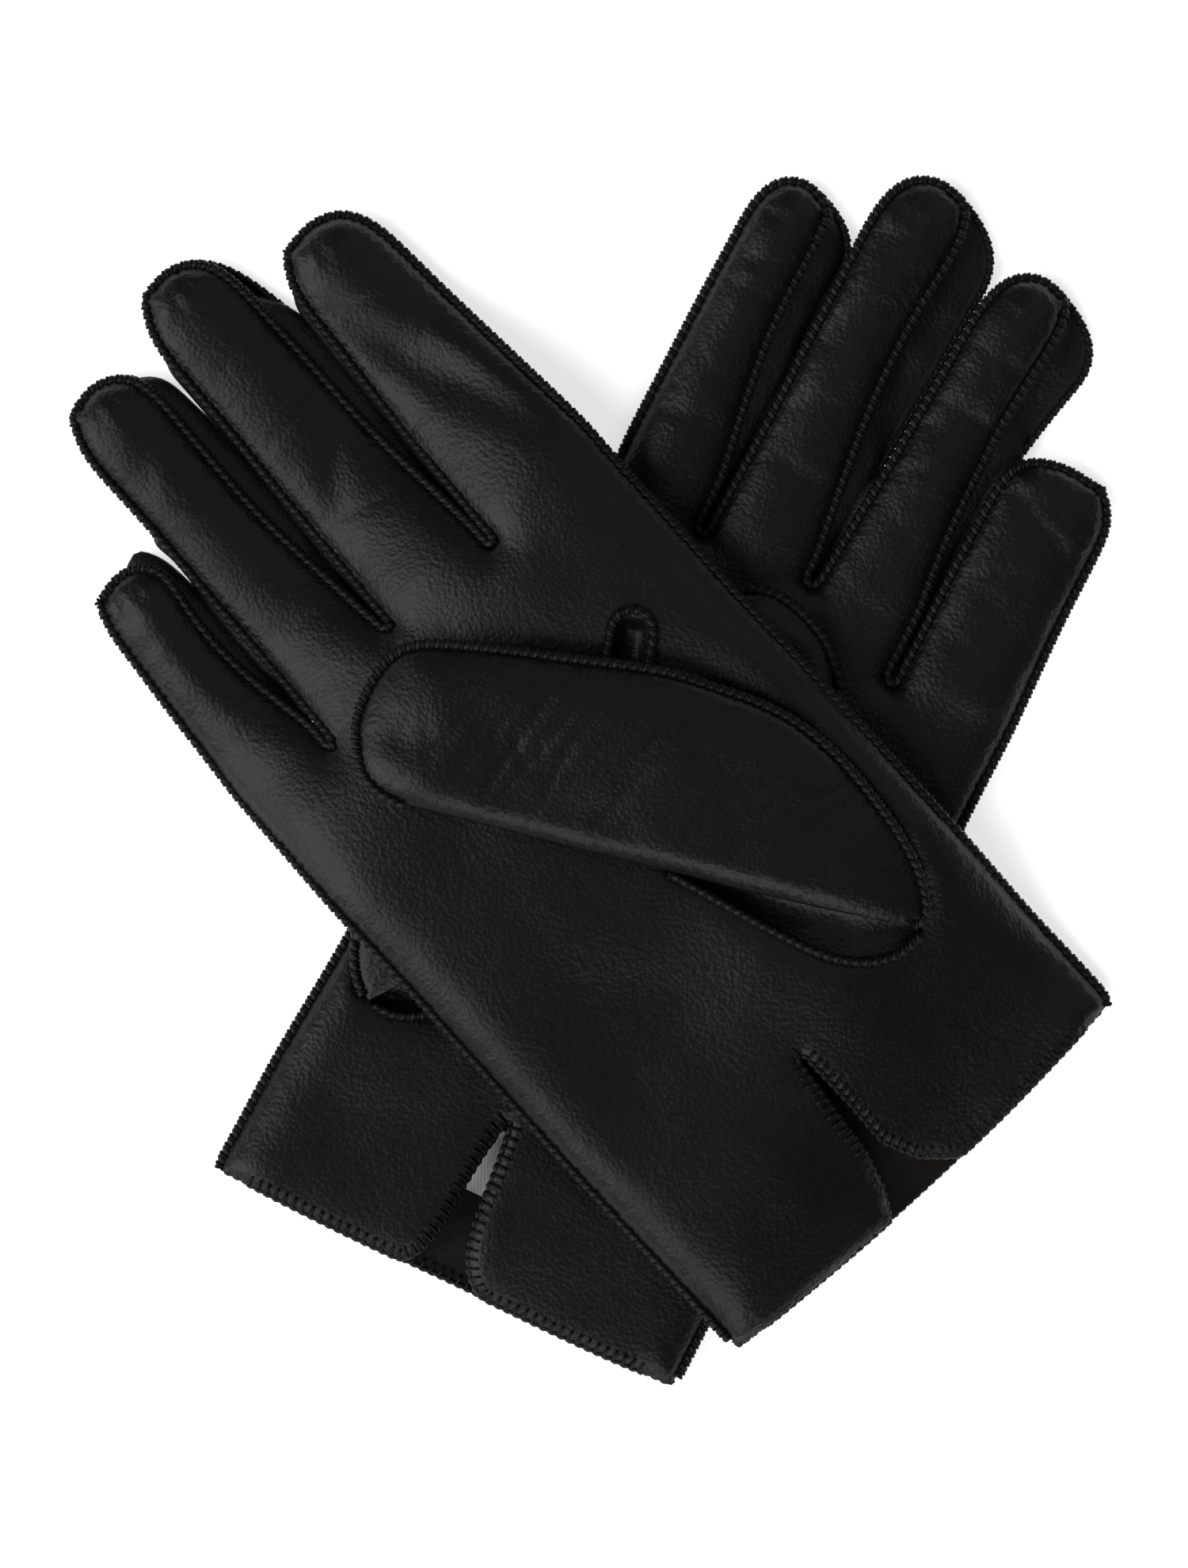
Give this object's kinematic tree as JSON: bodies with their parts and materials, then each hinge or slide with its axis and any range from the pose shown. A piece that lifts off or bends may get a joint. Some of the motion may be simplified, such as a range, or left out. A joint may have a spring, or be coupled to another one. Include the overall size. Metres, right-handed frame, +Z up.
{
  "type": "pair of driving gloves",
  "caption": "Pair of short black leather driving gloves lying crossed and palm up, with overcast outer seams, folded thumbs and a vent at each wrist.",
  "frame": {"origin": "middle of the pair's outline, on the surface that the gloves lie on", "axes": "+Z up out of the palms; +Y towards the fingertips of both gloves, between their two directions; +X towards the cuff of the right-hand glove"},
  "size_m": [0.2086, 0.2441, 0.0284],
  "materials": {
    "black_leather": "soft semi-matt grain",
    "strip_leather": "soft semi-matt grain",
    "black_thread": "waxed twisted thread",
    "label_satin": "plain woven satin"
  },
  "bodies": {
    "left_hand": {"left_palm_panel": "black_leather", "left_back_panel": "black_leather", "left_thumb_base": "black_leather", "left_side_seams": "black_thread", "left_hem_thread": "black_thread", "left_thumb_hole_seam": "black_thread", "left_label": "label_satin"},
    "right_hand": {"right_palm_panel": "black_leather", "right_back_panel": "black_leather", "right_thumb_base": "black_leather", "right_side_seams": "black_thread", "right_hem_thread": "black_thread", "right_thumb_hole_seam": "black_thread"},
    "left_index": {"left_index_front": "black_leather", "left_index_back": "black_leather", "left_index_fourchette": "strip_leather", "left_index_seams": "black_thread"},
    "left_middle": {"left_middle_front": "black_leather", "left_middle_back": "black_leather", "left_middle_fourchettes": "strip_leather", "left_middle_seams": "black_thread"},
    "left_ring": {"left_ring_front": "black_leather", "left_ring_back": "black_leather", "left_ring_fourchettes": "strip_leather", "left_ring_seams": "black_thread"},
    "left_little": {"left_little_front": "black_leather", "left_little_back": "black_leather", "left_little_fourchette": "strip_leather", "left_little_seams": "black_thread"},
    "left_thumb": {"left_thumb": "black_leather", "left_thumb_seam": "black_thread"},
    "right_index": {"right_index_front": "black_leather", "right_index_back": "black_leather", "right_index_fourchette": "strip_leather", "right_index_seams": "black_thread"},
    "right_middle": {"right_middle_front": "black_leather", "right_middle_back": "black_leather", "right_middle_fourchettes": "strip_leather", "right_middle_seams": "black_thread"},
    "right_ring": {"right_ring_front": "black_leather", "right_ring_back": "black_leather", "right_ring_fourchettes": "strip_leather", "right_ring_seams": "black_thread"},
    "right_little": {"right_little_front": "black_leather", "right_little_back": "black_leather", "right_little_fourchette": "strip_leather", "right_little_seams": "black_thread"},
    "right_thumb": {"right_thumb": "black_leather", "right_thumb_seam": "black_thread"}
  },
  "joints": [
    {"name": "right_glove_lift", "type": "slide", "parent": "left_hand", "child": "right_hand", "axis": [0, 0, 1], "range_m": [0, 0.12]},
    {"name": "left_index_curl", "type": "hinge", "parent": "left_hand", "child": "left_index", "pos_m": [0.01624, 0.06605, 0.0092], "axis": [0.9033, -0.4289, 0], "range_deg": [0, 75]},
    {"name": "left_middle_curl", "type": "hinge", "parent": "left_hand", "child": "left_middle", "pos_m": [0.03529, 0.05078, 0.0092], "axis": [0.8957, -0.4446, 0], "range_deg": [0, 75]},
    {"name": "left_ring_curl", "type": "hinge", "parent": "left_hand", "child": "left_ring", "pos_m": [0.05651, 0.03888, 0.0092], "axis": [0.8755, -0.4833, 0], "range_deg": [0, 75]},
    {"name": "left_little_curl", "type": "hinge", "parent": "left_hand", "child": "left_little", "pos_m": [0.07383, 0.01783, 0.0092], "axis": [0.8965, -0.4431, 0], "range_deg": [0, 75]},
    {"name": "right_index_curl", "type": "hinge", "parent": "right_hand", "child": "right_index", "pos_m": [-0.01213, 0.06165, 0.0237], "axis": [0.742, 0.6704, 0], "range_deg": [0, 75]},
    {"name": "right_middle_curl", "type": "hinge", "parent": "right_hand", "child": "right_middle", "pos_m": [-0.03367, 0.04304, 0.02111], "axis": [0.7455, 0.6665, 0], "range_deg": [0, 75]},
    {"name": "right_ring_curl", "type": "hinge", "parent": "right_hand", "child": "right_ring", "pos_m": [-0.05222, 0.02564, 0.01609], "axis": [0.7373, 0.6756, 0], "range_deg": [0, 75]},
    {"name": "right_little_curl", "type": "hinge", "parent": "right_hand", "child": "right_little", "pos_m": [-0.06432, 0.00447, 0.01497], "axis": [0.7547, 0.6561, 0], "range_deg": [0, 75]},
    {"name": "right_thumb_lift", "type": "hinge", "parent": "right_hand", "child": "right_thumb", "pos_m": [0.01817, 0.00146, 0.0286], "axis": [0.1702, 0.9854, 0], "range_deg": [0, 75]},
    {"name": "left_thumb_lift", "type": "hinge", "parent": "left_hand", "child": "left_thumb", "pos_m": [-0.00771, -0.0016, 0.0141], "axis": [0.4848, -0.8746, 0], "range_deg": [0, 60]}
  ],
  "couplings": [
    {"joint": "left_thumb_lift", "follows": "right_glove_lift", "rad_per_m": 8.718}
  ]
}
